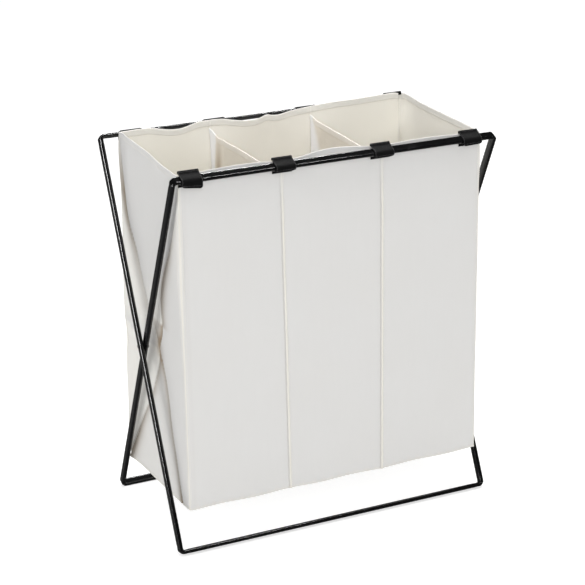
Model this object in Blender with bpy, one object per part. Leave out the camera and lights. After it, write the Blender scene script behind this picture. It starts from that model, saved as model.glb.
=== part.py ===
"""Folding three-compartment laundry sorter.

Two identical rectangular frames of flat-oval steel tube cross like scissors on a pair of
rivets.  A fabric bag with three compartments hangs between their top rails on hook-and-loop
straps.  Metres, +Z up, the floor at Z = 0, the crossing axis along X at Y = 0.
"""
import math

import bmesh
import bpy
from mathutils import Matrix, Vector

# ---- Driving dimensions, in metres ----
RAIL_RISE = 0.7082      # bottom rail centre up to top rail centre, standing open
TOP_REACH = 0.1676      # top rail centre out from the crossing axis
FOOT_REACH = 0.1638     # bottom rail centre out from the crossing axis
LEG_SPAN = 0.6370       # leg centre to leg centre on one frame
LEG_STEP = 0.0092       # sideways step between the legs of the two frames

TUBE_T = 0.0080         # oval tube across its flats, in the plane of the frame
TUBE_D = 0.0170         # oval tube the long way, square to the frame
TUBE_WALL = 0.0011
BEND_R = 0.0055         # centre-line radius of the pressed corners
BEND_STEPS = 4
OVAL_STEPS = 6          # facets round each half-round edge of the tube

RIVET_R = 0.0030
RIVET_HEAD_R = 0.0044
RIVET_HEAD_H = 0.0018
FIXED_HOLE_R = 0.0033   # hole in the frame that holds the rivets
TURN_HOLE_R = 0.00308   # hole in the frame that turns on them
WASHER_R = 0.0056
WASHER_T = 0.0006
ROUND_STEPS = 32

GAP = 0.0003            # clearance between pieces that touch

BAG_HALF_X = 0.3000
BAG_FRONT_Y = -0.1575   # outer face of the front panel
BAG_BACK_TOP_Y = 0.1540
BAG_BACK_LOW_Y = 0.1400
BAG_LOW_Z = 0.0845
BAG_RIM_Z = 0.7225
CLOTH_T = 0.0025        # hemmed double fabric
DIVIDER_X = 0.1000
DIVIDER_TOP_Z = 0.7020
DIVIDER_T = 0.0020

STRAP_W = 0.0390
STRAP_T = 0.0016
FRONT_STRAPS_X = (-0.2845, -0.1035, 0.0915, 0.2735)
BACK_STRAPS_X = (-0.2645, -0.0955, 0.0975, 0.2845)

# ---- Derived sizes ----
LEAN = math.atan2(TOP_REACH + FOOT_REACH, RAIL_RISE)
LEG_LENGTH = math.hypot(TOP_REACH + FOOT_REACH, RAIL_RISE)
LEG_ABOVE = LEG_LENGTH * TOP_REACH / (TOP_REACH + FOOT_REACH)
LEG_BELOW = LEG_LENGTH - LEG_ABOVE
RAIL_HALF_H = (TUBE_D - TUBE_T) / 2 * math.sin(LEAN) + TUBE_T / 2
PIVOT_Z = RAIL_HALF_H + LEG_BELOW * math.cos(LEAN)
TOP_RAIL_Z = RAIL_HALF_H + RAIL_RISE


def clear_scene():
    for obj in list(bpy.data.objects):
        bpy.data.objects.remove(obj, do_unlink=True)


def make_material(name, colour, roughness, metallic):
    mat = bpy.data.materials.new(name)
    mat.use_nodes = True
    shader = mat.node_tree.nodes["Principled BSDF"]
    shader.inputs["Base Color"].default_value = (*colour, 1.0)
    shader.inputs["Roughness"].default_value = roughness
    shader.inputs["Metallic"].default_value = metallic
    return mat


def add_object(name, bm, material, parent=None):
    """Turn a bmesh into a named object with outward faces and its own material."""
    bmesh.ops.recalc_face_normals(bm, faces=bm.faces)
    mesh = bpy.data.meshes.new(name)
    bm.to_mesh(mesh)
    bm.free()
    mesh.materials.append(make_material(name, *material))
    obj = bpy.data.objects.new(name, mesh)
    bpy.context.scene.collection.objects.link(obj)
    obj.parent = parent
    return obj


def add_empty(name, location, parent=None):
    """An empty marks a joint axis; its children are placed relative to it."""
    empty = bpy.data.objects.new(name, None)
    bpy.context.scene.collection.objects.link(empty)
    empty.parent = parent
    empty.location = location
    return empty


def extrude_profile(points, x0, x1):
    """Solid with the closed outline points (y, z), from x0 to x1."""
    bm = bmesh.new()
    near = [bm.verts.new((x0, y, z)) for y, z in points]
    far = [bm.verts.new((x1, y, z)) for y, z in points]
    bm.faces.new(near)
    bm.faces.new(list(reversed(far)))
    for i in range(len(points)):
        j = (i + 1) % len(points)
        bm.faces.new((near[j], near[i], far[i], far[j]))
    return bm


def thicken_line(points, thickness):
    """Closed outline of a strip of tape that follows the open line points."""
    left, right = [], []
    for i, point in enumerate(points):
        here = Vector(point)
        before = (here - Vector(points[i - 1])).normalized() if i else None
        after = (Vector(points[i + 1]) - here).normalized() if i + 1 < len(points) else None
        normals = [Vector((-d.y, d.x)) for d in (before, after) if d is not None]
        mitre = sum(normals, Vector((0, 0))).normalized()
        reach = thickness / 2 / mitre.dot(normals[0])
        left.append(tuple(here + mitre * reach))
        right.append(tuple(here - mitre * reach))
    return left + right[::-1]


def oval_section(thickness, depth):
    """Outline (in-plane, square-to-plane) of the flat-oval tube."""
    r, run = thickness / 2, (depth - thickness) / 2
    points = []
    for side in (1, -1):
        for k in range(OVAL_STEPS + 1):
            a = math.pi * k / OVAL_STEPS
            points.append((side * r * math.cos(a), side * (run + r * math.sin(a))))
    return points


def frame_path():
    """Centre line of a frame (x, v) with the in-plane outward direction at each point."""
    half = LEG_SPAN / 2
    path = []
    corners = ((half, LEG_ABOVE, 0), (-half, LEG_ABOVE, 90),
               (-half, -LEG_BELOW, 180), (half, -LEG_BELOW, 270))
    for cx, cv, start in corners:
        sx, sv = math.copysign(1, cx), math.copysign(1, cv)
        mx, mv = cx - sx * BEND_R, cv - sv * BEND_R
        for k in range(BEND_STEPS + 1):
            a = math.radians(start + 90 * k / BEND_STEPS)
            out = Vector((math.cos(a), math.sin(a)))
            path.append((Vector((mx, mv)) + out * BEND_R, out))
    return path


def sweep_ring(bm, path, section):
    """Closed tube surface along path."""
    rings = []
    for centre, out in path:
        # mitred sections keep the tube's width through the corner
        rings.append([bm.verts.new((centre.x + out.x * a, b, centre.y + out.y * a))
                      for a, b in section])
    count = len(section)
    for i, ring in enumerate(rings):
        other = rings[(i + 1) % len(rings)]
        for k in range(count):
            m = (k + 1) % count
            bm.faces.new((ring[k], ring[m], other[m], other[k]))


def build_frame(name, offset_x, lean, hole_r, colour):
    """One frame: a closed ring of oval tube, drilled through both legs at the crossing."""
    bm = bmesh.new()
    path = frame_path()
    sweep_ring(bm, path, oval_section(TUBE_T, TUBE_D))
    bmesh.ops.recalc_face_normals(bm, faces=bm.faces)
    outer = set(bm.faces)
    sweep_ring(bm, path, oval_section(TUBE_T - 2 * TUBE_WALL, TUBE_D - 2 * TUBE_WALL))
    inner = [f for f in bm.faces if f not in outer]
    bmesh.ops.recalc_face_normals(bm, faces=inner)
    bmesh.ops.reverse_faces(bm, faces=inner)

    mesh = bpy.data.meshes.new(name)
    bm.to_mesh(mesh)
    bm.free()
    mesh.materials.append(make_material(name, *colour))
    frame = bpy.data.objects.new(name, mesh)
    bpy.context.scene.collection.objects.link(frame)
    frame.location = (offset_x, 0, PIVOT_Z)
    frame.rotation_euler = (lean, 0, 0)

    drill = bmesh.new()
    bmesh.ops.create_cone(drill, cap_ends=True, segments=ROUND_STEPS, radius1=hole_r,
                          radius2=hole_r, depth=LEG_SPAN + 0.1,
                          matrix=Matrix.Rotation(math.radians(90), 4, "Y"))
    cutter = add_object(name + "_drill", drill, colour, frame)
    cutter.hide_render = True
    cutter.display_type = "WIRE"
    cut = frame.modifiers.new("Rivet holes", "BOOLEAN")
    cut.operation = "DIFFERENCE"
    cut.solver = "EXACT"
    cut.object = cutter
    mesh.shade_smooth()
    mesh.set_sharp_from_angle(angle=math.radians(50))
    return frame


def turned(profile, name, x, material):
    """Solid turned about the crossing axis from an open profile (x, r)."""
    bm = bmesh.new()
    rings = []
    for px, r in profile:
        if r == 0:
            rings.append([bm.verts.new((px, 0, 0))])
            continue
        rings.append([bm.verts.new((px, r * math.cos(a), r * math.sin(a)))
                      for a in (2 * math.pi * k / ROUND_STEPS for k in range(ROUND_STEPS))])
    closed = profile[0][1] != 0
    pairs = list(zip(rings, rings[1:])) + ([(rings[-1], rings[0])] if closed else [])
    for one, two in pairs:
        for k in range(ROUND_STEPS):
            m = (k + 1) % ROUND_STEPS
            quad = [one[k % len(one)], one[m % len(one)], two[m % len(two)], two[k % len(two)]]
            bm.faces.new(list(dict.fromkeys(quad)))
    obj = add_object(name, bm, material)
    obj.location = (x, 0, PIVOT_Z)
    obj.data.shade_smooth()
    obj.data.set_sharp_from_angle(angle=math.radians(35))
    return obj


def build_pivot(side, name):
    """Rivet, spacer washer and backing washer of one side; side is -1 left, +1 right."""
    steel = ((0.05, 0.05, 0.052), 0.35, 0.9)
    nylon = ((0.03, 0.03, 0.03), 0.6, 0.0)
    middle = side * LEG_SPAN / 2
    out_face = LEG_STEP / 2 + TUBE_T / 2          # outer leg's outside, from the middle
    in_face = -out_face                           # inner leg's inside

    def flip(profile):
        return [(side * px, r) for px, r in profile]

    washer = [(-WASHER_T / 2, RIVET_R + GAP), (WASHER_T / 2, RIVET_R + GAP),
              (WASHER_T / 2, WASHER_R), (-WASHER_T / 2, WASHER_R)]
    turned(flip(washer), "spacer_washer_" + name, middle, nylon)
    backing = [(px + in_face - GAP - WASHER_T / 2, r) for px, r in washer]
    turned(flip(backing), "backing_washer_" + name, middle, steel)

    head0 = out_face + GAP
    foot0 = in_face - 2 * GAP - WASHER_T
    rivet = [(head0 + RIVET_HEAD_H, 0), (head0 + RIVET_HEAD_H * 0.9, RIVET_HEAD_R * 0.45),
             (head0 + RIVET_HEAD_H * 0.55, RIVET_HEAD_R * 0.85), (head0, RIVET_HEAD_R),
             (head0, RIVET_R), (foot0, RIVET_R), (foot0, RIVET_HEAD_R),
             (foot0 - RIVET_HEAD_H * 0.6, RIVET_HEAD_R * 0.8),
             (foot0 - RIVET_HEAD_H * 0.8, 0)]
    turned(flip(rivet), "rivet_" + name, middle, steel)


def slab(name, corners_low, corners_high, material, parent):
    """Six-sided solid from four lower corners and the four above them, world coordinates."""
    bm = bmesh.new()
    origin = parent.matrix_world.translation
    low = [bm.verts.new(Vector(c) - origin) for c in corners_low]
    high = [bm.verts.new(Vector(c) - origin) for c in corners_high]
    bm.faces.new(low[::-1])
    bm.faces.new(high)
    for i in range(4):
        j = (i + 1) % 4
        bm.faces.new((low[i], low[j], high[j], high[i]))
    return add_object(name, bm, material, parent)


def back_y(z, inset):
    """Back panel's outer face at height z, moved in by inset."""
    share = (z - BAG_LOW_Z) / (BAG_RIM_Z - BAG_LOW_Z)
    return BAG_BACK_LOW_Y + (BAG_BACK_TOP_Y - BAG_BACK_LOW_Y) * share - inset


def build_bag(hinge):
    """Bag panels: front, back, sides, two dividers and a bottom to each compartment."""
    cloth = ((0.84, 0.83, 0.81), 0.9, 0.0)
    t, g = CLOTH_T, GAP
    x, z0, z1 = BAG_HALF_X, BAG_LOW_Z, BAG_RIM_Z

    def wall(name, x0, x1, front, inset0, inset1, low, high):
        """Upright piece between two x and between front and the back panel's slope."""
        def ring(z):
            y1 = back_y(z, inset1)
            y0 = back_y(z, inset0) if front is None else front
            return [(x0, y0, z), (x1, y0, z), (x1, y1, z), (x0, y1, z)]
        slab(name, ring(low), ring(high), cloth, hinge)

    yf = BAG_FRONT_Y
    slab("bag_front_panel",
         [(-x, yf, z0), (x, yf, z0), (x, yf + t, z0), (-x, yf + t, z0)],
         [(-x, yf, z1), (x, yf, z1), (x, yf + t, z1), (-x, yf + t, z1)], cloth, hinge)
    wall("bag_back_panel", -x, x, None, t, 0, z0, z1)
    wall("bag_left_panel", -x, -x + t, yf + t + g, 0, t + g, z0, z1)
    wall("bag_right_panel", x - t, x, yf + t + g, 0, t + g, z0, z1)
    edge, half = x - t - g, DIVIDER_T / 2
    for name, x0, x1 in (("bag_bottom_left", -edge, -DIVIDER_X - half - g),
                         ("bag_bottom_middle", half - DIVIDER_X + g, DIVIDER_X - half - g),
                         ("bag_bottom_right", DIVIDER_X + half + g, edge)):
        wall(name, x0, x1, yf + t + g, 0, t + g, z0, z0 + t)
    for name, cx in (("divider_left", -DIVIDER_X), ("divider_right", DIVIDER_X)):
        wall(name, cx - half, cx + half, yf + t + g, 0, t + g, z0, DIVIDER_TOP_Z)


def build_strap(name, cx, side, panel_y, tab_parent):
    """Flap over the rail and the tab under it; side is -1 at the front, +1 at the back."""
    root_y = panel_y - CLOTH_T / 2
    tape = ((0.02, 0.02, 0.021), 0.85, 0.0)
    x0, x1 = -STRAP_W / 2, STRAP_W / 2
    rail = Vector((TOP_REACH, TOP_RAIL_Z))        # rail centre, y measured outward

    # flap: up from the rim, down the slope over the rail, then down its outer side
    line = [(root_y, BAG_RIM_Z + GAP + 0.0001),
            (root_y, rail.y + 0.0129),
            (rail.x + 0.0063, rail.y + 0.0053),
            (rail.x + 0.0096, rail.y + 0.0018),
            (rail.x + 0.0096, rail.y - 0.0096)]
    hinge = Vector((root_y, BAG_RIM_Z + 0.0011))
    outline = [(side * (y - hinge.x), z - hinge.y) for y, z in thicken_line(line, STRAP_T)]
    flap = add_object(name + "_flap", extrude_profile(outline, x0, x1), tape)
    flap.location = (cx, side * hinge.x, hinge.y)

    # tab: sewn to the panel below the rail, it comes out under the rail to the flap
    leg_y = panel_y + GAP + STRAP_T / 2
    top = rail.y - 0.0066 - STRAP_T / 2
    line = [(leg_y, top - 0.0082), (leg_y, top), (rail.x + 0.0081, top)]
    outline = [(side * y, z) for y, z in thicken_line(line, STRAP_T)]
    tab = add_object(name + "_tab", extrude_profile(outline, x0, x1), tape)
    tab.location = (cx, 0, 0)
    if tab_parent is not None:
        tab.parent = tab_parent
        tab.location = Vector((cx, 0, 0)) - tab_parent.matrix_world.translation


def main():
    clear_scene()
    black = ((0.018, 0.018, 0.02), 0.3, 0.6)
    build_frame("front_rail_frame", LEG_STEP / 2, LEAN, FIXED_HOLE_R, black)
    build_frame("back_rail_frame", -LEG_STEP / 2, -LEAN, TURN_HOLE_R, black)
    build_pivot(-1, "left")
    build_pivot(1, "right")
    bag_hinge = add_empty("bag_hinge", (0, -TOP_REACH, TOP_RAIL_Z))
    bpy.context.view_layer.update()
    build_bag(bag_hinge)
    for i, cx in enumerate(FRONT_STRAPS_X, 1):
        build_strap(f"front_strap_{i}", cx, -1, -BAG_FRONT_Y, bag_hinge)
    for i, cx in enumerate(BACK_STRAPS_X, 1):
        build_strap(f"back_strap_{i}", cx, 1, BAG_BACK_TOP_Y, None)
    bpy.context.view_layer.update()


main()
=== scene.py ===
import math

import bmesh
import bpy
import numpy as np
from mathutils import Matrix, Vector


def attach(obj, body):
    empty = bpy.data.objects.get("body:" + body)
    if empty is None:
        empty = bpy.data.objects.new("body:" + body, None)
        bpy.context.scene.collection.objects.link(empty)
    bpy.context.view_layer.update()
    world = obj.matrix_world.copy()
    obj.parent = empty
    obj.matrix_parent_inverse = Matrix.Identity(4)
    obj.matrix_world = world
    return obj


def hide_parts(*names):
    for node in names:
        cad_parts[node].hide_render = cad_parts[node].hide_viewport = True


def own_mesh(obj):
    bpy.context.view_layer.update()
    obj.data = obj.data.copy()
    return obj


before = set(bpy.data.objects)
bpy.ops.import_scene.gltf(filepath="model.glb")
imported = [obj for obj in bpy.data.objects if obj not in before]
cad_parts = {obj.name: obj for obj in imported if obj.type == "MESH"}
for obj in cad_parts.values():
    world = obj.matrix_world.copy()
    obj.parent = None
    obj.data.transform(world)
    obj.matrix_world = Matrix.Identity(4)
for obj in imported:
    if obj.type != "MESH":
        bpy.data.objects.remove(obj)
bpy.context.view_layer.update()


# ---- Studio ------------------------------------------------------------------------------
# A white floor, an even white surround and three soft boxes for the cloth. Gloss paint sees
# only a dark surround and a few narrow strip lights, which draw thin streaks on black.


def new_object(name, data):
    """Object holding the data, linked to the scene."""
    obj = bpy.data.objects.new(name, data)
    bpy.context.scene.collection.objects.link(obj)
    return obj


def new_material(name, roughness, **settings):
    """Material with its Principled shader; settings are socket names with _ for a space."""
    made = bpy.data.materials.new(name)
    made.use_nodes = True
    base = made.node_tree.nodes["Principled BSDF"]
    base.inputs["Roughness"].default_value = roughness
    for title, value in settings.items():
        base.inputs[title.replace("_", " ")].default_value = value
    return made, made.node_tree, base


def gloss_switch(tree, plain, in_gloss, socket):
    """Feed a socket one value, and another where it is only seen in gloss."""
    ray = tree.nodes.new("ShaderNodeLightPath")
    pick = tree.nodes.new("ShaderNodeMapRange")
    pick.inputs["To Min"].default_value = plain
    pick.inputs["To Max"].default_value = in_gloss
    tree.links.new(ray.outputs["Is Glossy Ray"], pick.inputs["Value"])
    tree.links.new(pick.outputs["Result"], socket)


def soft_box(name, place, target, size, power, gleam=False):
    """Area light aimed at a point; a gleam light shows only in gloss, the others never do."""
    light = new_object(name, bpy.data.lights.new(name, "AREA"))
    light.location = place
    light.rotation_euler = (Vector(target) - Vector(place)).to_track_quat("-Z", "Y").to_euler()
    light.data.shape = "RECTANGLE"
    light.data.size, light.data.size_y = size
    light.data.energy = power
    light.visible_glossy, light.visible_diffuse = gleam, not gleam


camera = new_object("camera", bpy.data.cameras.new("camera"))
camera.location = (-1.46806, -3.09546, 1.64655)
camera.rotation_euler = (1.22346, 0.014396, -0.444846)
camera.data.lens = 117.839
camera.data.sensor_width = 36
bpy.context.scene.camera = camera
bpy.context.scene.view_settings.view_transform = "Standard"

world = bpy.data.worlds.new("white surround")
bpy.context.scene.world = world
world.use_nodes = True
surround = world.node_tree.nodes["Background"]
surround.inputs["Color"].default_value = (1.0, 0.995, 0.985, 1)
gloss_switch(world.node_tree, 0.66, 0.02, surround.inputs["Strength"])

soft_box("key box", (-1.2, -3.4, 2.0), (0, 0, 0.35), (1.6, 1.2), 39)
soft_box("side box", (-3.0, -0.6, 1.7), (0, 0, 0.40), (0.5, 2.0), 5)
soft_box("top box", (0.3, 0.2, 2.9), (0, 0, 0.40), (1.6, 1.6), 65)
soft_box("left strip", (-3.0, 0.15, 0.50), (0, 0.15, 0.50), (0.34, 2.6), 170, True)
soft_box("back strip", (0.1, 1.9, 2.6), (0.1, 0, 0.72), (2.4, 0.11), 110, True)
soft_box("front strip", (0.1, -0.9, 3.2), (0.1, -0.16, 0.72), (2.4, 0.12), 55, True)

floor = new_object("floor", bpy.data.meshes.new("floor"))
floor.data.from_pydata([(-20, -20, 0), (20, -20, 0), (20, 20, 0), (-20, 20, 0)], [], [(0, 1, 2, 3)])
white, tree, base = new_material("white floor", 0.95, Emission_Color=(1, 1, 1, 1))
gloss_switch(tree, 0.60, 0.010, base.inputs["Emission Strength"])
gloss_switch(tree, 0.60, 0.06, base.inputs["Base Color"])
floor.data.materials.append(white)


# ---- Two tube frames ---------------------------------------------------------------------
# Each frame is one length of 8 x 17 mm flat-oval steel tube, pressed round at four tight
# corners, welded to a closed ring and painted gloss black. The press necks the tube a little
# on each side of a corner, flattens its outside and leaves small crimps on the inside.

RAIL_Y, FOOT_Y, RISE = 0.1676, 0.1638, 0.7082   # rail and foot from the middle, foot to rail
LEG_SPAN, LEG_STEP = 0.6370, 0.0092             # between leg centres, side by side at the rivet
TUBE_T, TUBE_D, BEND_R = 0.0080, 0.0170, 0.0055
NECK, CRIMP, PRESS = 0.10, 0.00030, 0.0012      # share lost beside a corner, ripple, flattening
LEAN = math.atan2(RAIL_Y + FOOT_Y, RISE)
LEG_LENGTH = math.hypot(RAIL_Y + FOOT_Y, RISE)
LEG_ABOVE = LEG_LENGTH * RAIL_Y / (RAIL_Y + FOOT_Y)
LEG_BELOW = LEG_LENGTH - LEG_ABOVE
RAIL_Z = (TUBE_D - TUBE_T) / 2 * math.sin(LEAN) + TUBE_T / 2 + RISE
PIVOT_Z = RAIL_Z - LEG_ABOVE * math.cos(LEAN)


def face_outward(mesh):
    """Turn the faces of a closed mesh outward and shade it smooth."""
    bm = bmesh.new()
    bm.from_mesh(mesh)
    bmesh.ops.recalc_face_normals(bm, faces=bm.faces)
    bm.to_mesh(mesh)
    bm.free()
    mesh.shade_smooth()


def add_piece(name, points, faces, material, uv=None, marks=()):
    """Closed smooth mesh at the origin; uv holds one pair for each face corner."""
    mesh = bpy.data.meshes.new(name)
    mesh.from_pydata(points.tolist(), [], faces if isinstance(faces, list) else faces.tolist())
    if uv is not None:
        mesh.uv_layers.new(name="Cloth").data.foreach_set("uv", np.asarray(uv).ravel())
    for mark, values in marks:
        mesh.attributes.new(mark, "FLOAT", "POINT").data.foreach_set(
            "value", np.asarray(values, np.float32).ravel())
    mesh.validate()
    face_outward(mesh)
    mesh.materials.append(material)
    return new_object(name, mesh)


def loft_faces(columns, ring, closed=True):
    """Quads between neighbouring rings of points, and from the last to the first if closed."""
    i, k = np.meshgrid(np.arange(columns if closed else columns - 1), np.arange(ring), indexing="ij")
    i2, k2 = (i + 1) % columns, (k + 1) % ring
    quads = np.stack([i * ring + k, i * ring + k2, i2 * ring + k2, i2 * ring + k], -1)
    return quads.reshape(-1, 4)


def new_group(name, inputs, outputs):
    """Empty shader group with named sockets; returns the tree, its input and its output."""
    tree = bpy.data.node_groups.new(name, "ShaderNodeTree")
    for title, kind, value in inputs:
        socket = tree.interface.new_socket(title, in_out="INPUT", socket_type=kind)
        if value is not None:
            socket.default_value = value
    for title, kind in outputs:
        tree.interface.new_socket(title, in_out="OUTPUT", socket_type=kind)
    return tree, tree.nodes.new("NodeGroupInput"), tree.nodes.new("NodeGroupOutput")


def noise(tree, place, scale, detail=2.0, stretch=None):
    """Noise value socket over a position socket, stretched along an axis if asked."""
    if stretch is not None:
        mapping = tree.nodes.new("ShaderNodeMapping")
        mapping.inputs["Scale"].default_value = stretch
        tree.links.new(place, mapping.inputs["Vector"])
        place = mapping.outputs["Vector"]
    node = tree.nodes.new("ShaderNodeTexNoise")
    node.inputs["Detail"].default_value = detail
    tree.links.new(place, node.inputs["Vector"])
    if isinstance(scale, (int, float)):
        node.inputs["Scale"].default_value = scale
    else:
        tree.links.new(scale, node.inputs["Scale"])
    return node.outputs["Fac"]


def spread(tree, value, low, high, to_low, to_high):
    """Map Range from low..high to to_low..to_high, clamped."""
    node = tree.nodes.new("ShaderNodeMapRange")
    tree.links.new(value, node.inputs["Value"])
    for slot, number in zip(("From Min", "From Max", "To Min", "To Max"),
                            (low, high, to_low, to_high)):
        node.inputs[slot].default_value = number
    return node.outputs["Result"]


def tint(tree, fac, one, two):
    """Colour mix; one and two are colours or sockets."""
    node = tree.nodes.new("ShaderNodeMix")
    node.data_type = "RGBA"
    tree.links.new(fac, node.inputs[0])
    for slot, value in ((node.inputs[6], one), (node.inputs[7], two)):
        if isinstance(value, tuple):
            slot.default_value = (*value, 1)
        else:
            tree.links.new(value, slot)
    return node.outputs[2]


def bump(tree, base, height, strength, distance):
    """Bump node from a height socket into the shader's normal."""
    node = tree.nodes.new("ShaderNodeBump")
    node.inputs["Strength"].default_value = strength
    node.inputs["Distance"].default_value = distance
    tree.links.new(height, node.inputs["Height"])
    tree.links.new(node.outputs["Normal"], base.inputs["Normal"])


# scuffs and dust that settle on hard pieces: a mask of light rubbing and a grain height
scuff_group, scuff_in, scuff_out = new_group(
    "Handling wear", [("Vector", "NodeSocketVector", None), ("Size", "NodeSocketFloat", 60.0)],
    [("Rubbing", "NodeSocketFloat"), ("Grain", "NodeSocketFloat")])
streak = noise(scuff_group, scuff_in.outputs["Vector"], scuff_in.outputs["Size"], 5.0)
scuff_group.links.new(spread(scuff_group, streak, 0.58, 0.75, 0.0, 1.0), scuff_out.inputs["Rubbing"])
fine = noise(scuff_group, scuff_in.outputs["Vector"], 900.0, 2.0)
scuff_group.links.new(fine, scuff_out.inputs["Grain"])


def use_group(tree, group, **numbers):
    """Place a shader group in a material and feed it Object coordinates if it takes them."""
    node = tree.nodes.new("ShaderNodeGroup")
    node.node_tree = group
    if "Vector" in node.inputs:
        where = tree.nodes.new("ShaderNodeTexCoord")
        tree.links.new(where.outputs["Object"], node.inputs["Vector"])
    for title, value in numbers.items():
        node.inputs[title.replace("_", " ")].default_value = value
    return node


paint, tree, base = new_material("black gloss paint", 0.20, Coat_Weight=0.30,
                                 Coat_Roughness=0.07, Specular_IOR_Level=0.45)
worn = use_group(tree, scuff_group, Size=45.0)
tree.links.new(tint(tree, worn.outputs["Rubbing"], (0.0024, 0.0024, 0.0027), (0.0065, 0.0065, 0.0072)),
               base.inputs["Base Color"])
tree.links.new(spread(tree, worn.outputs["Rubbing"], 0, 1, 0.17, 0.24), base.inputs["Roughness"])
bump(tree, base, noise(tree, worn.inputs["Vector"].links[0].from_socket, 320.0, 2.0), 0.02, 0.0004)


def ring_line(half, above, below, radius):
    """Closed centre line (x, v) of a frame with outward directions and distance to a corner."""
    line, outs, near = [], [], []
    corners = ((half, above, 0), (-half, above, 90), (-half, -below, 180), (half, -below, 270))
    steps = np.concatenate([np.linspace(0, 0.03, 16), np.linspace(0.036, 0.06, 5)])
    for k, (cx, cv, start) in enumerate(corners):
        sx, sv = math.copysign(1, cx), math.copysign(1, cv)
        middle = np.array([cx - sx * radius, cv - sv * radius])
        a0, a1 = math.radians(start), math.radians(start + 90)
        lead = np.array([math.sin(a0), -math.cos(a0)])
        first = middle + radius * np.array([math.cos(a0), math.sin(a0)])
        for s in steps[:0:-1]:
            line.append(first + lead * s)
            outs.append((math.cos(a0), math.sin(a0)))
            near.append(-s - radius * math.pi / 4)
        for a in np.linspace(a0, a1, 15):
            out = np.array([math.cos(a), math.sin(a)])
            line.append(middle + out * radius)
            outs.append(tuple(out))
            near.append((a - a0 - math.pi / 4) * radius)
        follow = np.array([-math.sin(a1), math.cos(a1)])
        last = middle + radius * np.array([math.cos(a1), math.sin(a1)])
        for s in steps[1:]:
            line.append(last + follow * s)
            outs.append((math.cos(a1), math.sin(a1)))
            near.append(s + radius * math.pi / 4)
    return np.array(line), np.array(outs), np.array(near)


def tube_frame(name, shift, lean):
    """One closed frame of oval tube, with necked and crimped corners."""
    line, outs, near = ring_line(LEG_SPAN / 2, LEG_ABOVE, LEG_BELOW, BEND_R)
    around = []
    r, run = TUBE_T / 2, (TUBE_D - TUBE_T) / 2
    for side in (1, -1):
        around += [(side * r * math.cos(a), side * (run + r * math.sin(a)))
                   for a in np.linspace(0, math.pi, 11)]
        around += [(-side * r, side * run * t) for t in (0.5, 0.0, -0.5)]
    around = np.array(around)
    neck = 1 - NECK * np.exp(-((np.abs(near) - 0.0100) / 0.0035) ** 2)
    crimp = CRIMP * np.cos(2 * math.pi * near / 0.0026) * np.exp(-(near / 0.005) ** 2)
    press = PRESS * np.exp(-(near / 0.0026) ** 2)
    points = []
    for centre, out, n, c, flat in zip(line, outs, neck, crimp, press):
        inward = np.clip(-around[:, 0] / r, 0, 1)
        a = around[:, 0] * n - c * inward - flat * np.clip(around[:, 0] / r, 0, 1)
        b = around[:, 1] * (1 + 0.35 * (1 - n))
        points.append(np.stack([centre[0] + out[0] * a, b, centre[1] + out[1] * a], 1))
    points = np.array(points)
    faces = loft_faces(*points.shape[:2])
    turn = np.array(Matrix.Rotation(lean, 3, "X"))
    points = points.reshape(-1, 3) @ turn.T + np.array([shift, 0, PIVOT_Z])
    return add_piece(name, points, faces, paint)


for name, body, shift, lean in (("tube_front_rail", "front_rail_frame", LEG_STEP / 2, LEAN),
                                ("tube_back_rail", "back_rail_frame", -LEG_STEP / 2, -LEAN)):
    tube = tube_frame(name, shift, lean)
    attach(tube, body)
    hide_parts(body)


# ---- Rivets and washers ------------------------------------------------------------------
# Steel rivets with low domed heads pass through both legs where the frames cross. A thin
# nylon washer keeps the paint of the legs apart, a steel one backs the peened end.

GAP, WASHER_T, WASHER_R, BORE_R, WASHER_EASE = 0.0003, 0.0006, 0.0056, 0.0033, 0.00018
SHANK_R, HEAD_R, HEAD_H = 0.0030, 0.0044, 0.0018
TAIL_H = HEAD_H * 0.8                           # the peened end is flatter than the head


def turned(profile, steps=40):
    """Mesh turned about X from (x, r) points; ends on the axis, or closes on itself."""
    points, rings = [], []
    for x, r in profile:
        rings.append([])
        for a in ([0.0] if r == 0 else np.linspace(0, 2 * math.pi, steps, endpoint=False)):
            rings[-1].append(len(points))
            points.append((x, r * math.cos(a), r * math.sin(a)))
    pairs = list(zip(rings, rings[1:])) + ([] if profile[0][1] == 0 else [(rings[-1], rings[0])])
    faces = []
    for one, two in pairs:
        for k in range(steps):
            quad = [one[k % len(one)], one[(k + 1) % steps % len(one)],
                    two[(k + 1) % steps % len(two)], two[k % len(two)]]
            faces.append(list(dict.fromkeys(quad)))
    mesh = bpy.data.meshes.new("turned blank")
    mesh.from_pydata(points, [], faces)
    face_outward(mesh)
    mesh.set_sharp_from_angle(angle=math.radians(50))
    return mesh


def wire(tree, *pairs):
    """Link sockets, given as (from, to) pairs."""
    for start, end in pairs:
        tree.links.new(start, end)


def geometry_tree(name, sockets):
    """Geometry node tree with a Geometry in and out and the named inputs."""
    made = bpy.data.node_groups.new(name, "GeometryNodeTree")
    made.interface.new_socket("Geometry", in_out="INPUT", socket_type="NodeSocketGeometry")
    named = {title: made.interface.new_socket(title, in_out="INPUT", socket_type=kind)
             for title, kind in sockets}
    made.interface.new_socket("Geometry", in_out="OUTPUT", socket_type="NodeSocketGeometry")
    return made, made.nodes.new("NodeGroupInput"), made.nodes.new("NodeGroupOutput"), named


def bake(obj, made, named, values, name):
    """Run a geometry tree on obj and keep the result as a plain mesh object."""
    modifier = obj.modifiers.new("make", "NODES")
    modifier.node_group = made
    for title, value in values.items():
        modifier[named[title].identifier] = value
    bpy.context.view_layer.update()
    evaluated = obj.evaluated_get(bpy.context.evaluated_depsgraph_get())
    mesh = bpy.data.meshes.new_from_object(evaluated)
    mesh.name = name
    bpy.data.objects.remove(obj, do_unlink=True)
    return new_object(name, mesh)


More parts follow.
